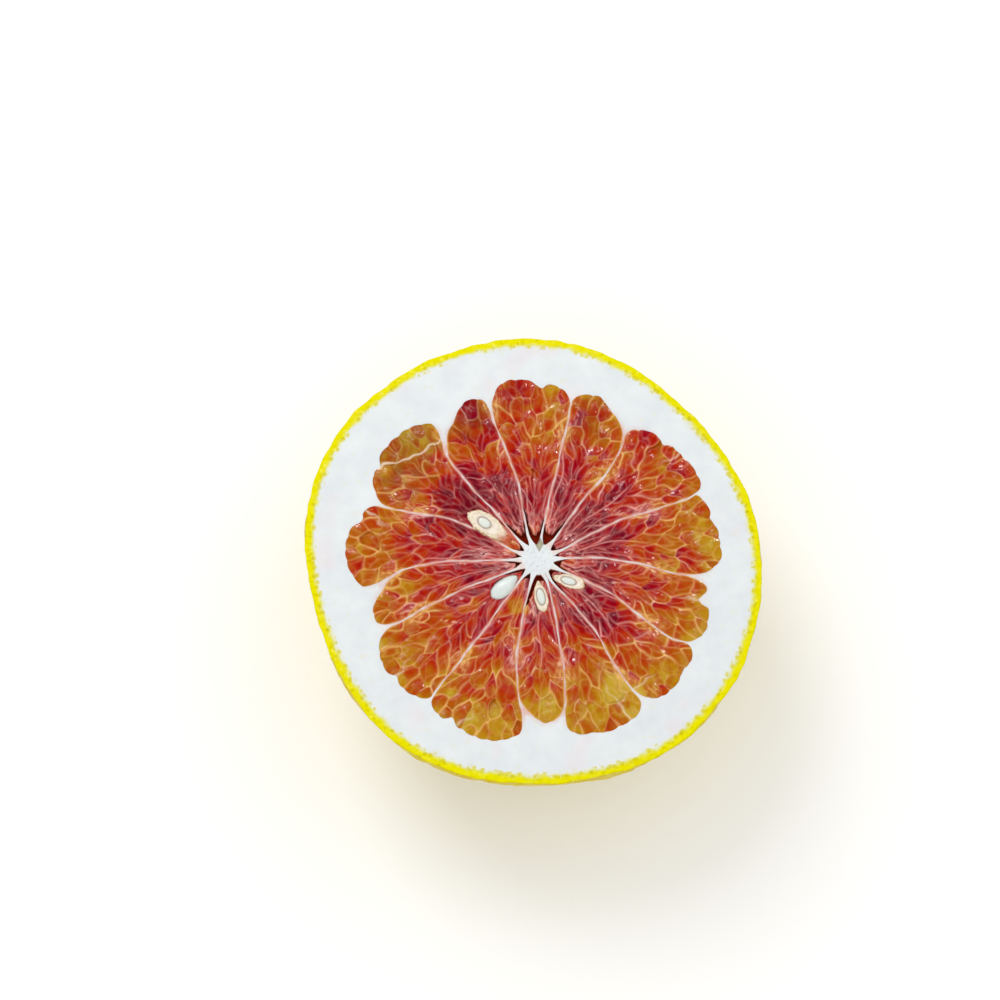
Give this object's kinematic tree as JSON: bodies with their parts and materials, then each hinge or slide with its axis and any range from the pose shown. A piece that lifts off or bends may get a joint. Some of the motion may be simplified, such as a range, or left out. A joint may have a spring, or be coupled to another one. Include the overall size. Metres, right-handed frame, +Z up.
{
  "type": "pomelo half",
  "caption": "Halved pomelo: round, thick-skinned citrus with bumpy yellow peel, white pith and red-orange segments, lying cut face up on its rounded end.",
  "frame": {"origin": "middle of the flattened resting spot at the blossom end, right below the fruit's core", "axes": "+Z up along the fruit's core, out of the cut face; +X to the right and +Y away from a viewer who looks down on the cut face"},
  "size_m": [0.1503, 0.1495, 0.0753],
  "materials": {
    "peel": "waxy, pebbled with oil glands",
    "pith": "matte, spongy white",
    "pulp": "wet, translucent, crimson near the core to amber at the pith",
    "seed": "satin, cream"
  },
  "bodies": {
    "root": {"peel": "peel", "pith": "pith", "pulp_01": "pulp", "pulp_02": "pulp", "pulp_03": "pulp", "pulp_04": "pulp", "pulp_05": "pulp", "pulp_06": "pulp", "pulp_07": "pulp", "pulp_08": "pulp", "pulp_09": "pulp", "pulp_10": "pulp", "pulp_11": "pulp", "pulp_12": "pulp", "pulp_13": "pulp", "pulp_14": "pulp", "seed_1": "seed", "seed_2": "seed", "seed_3": "seed", "seed_4": "seed"}
  },
  "joints": []
}
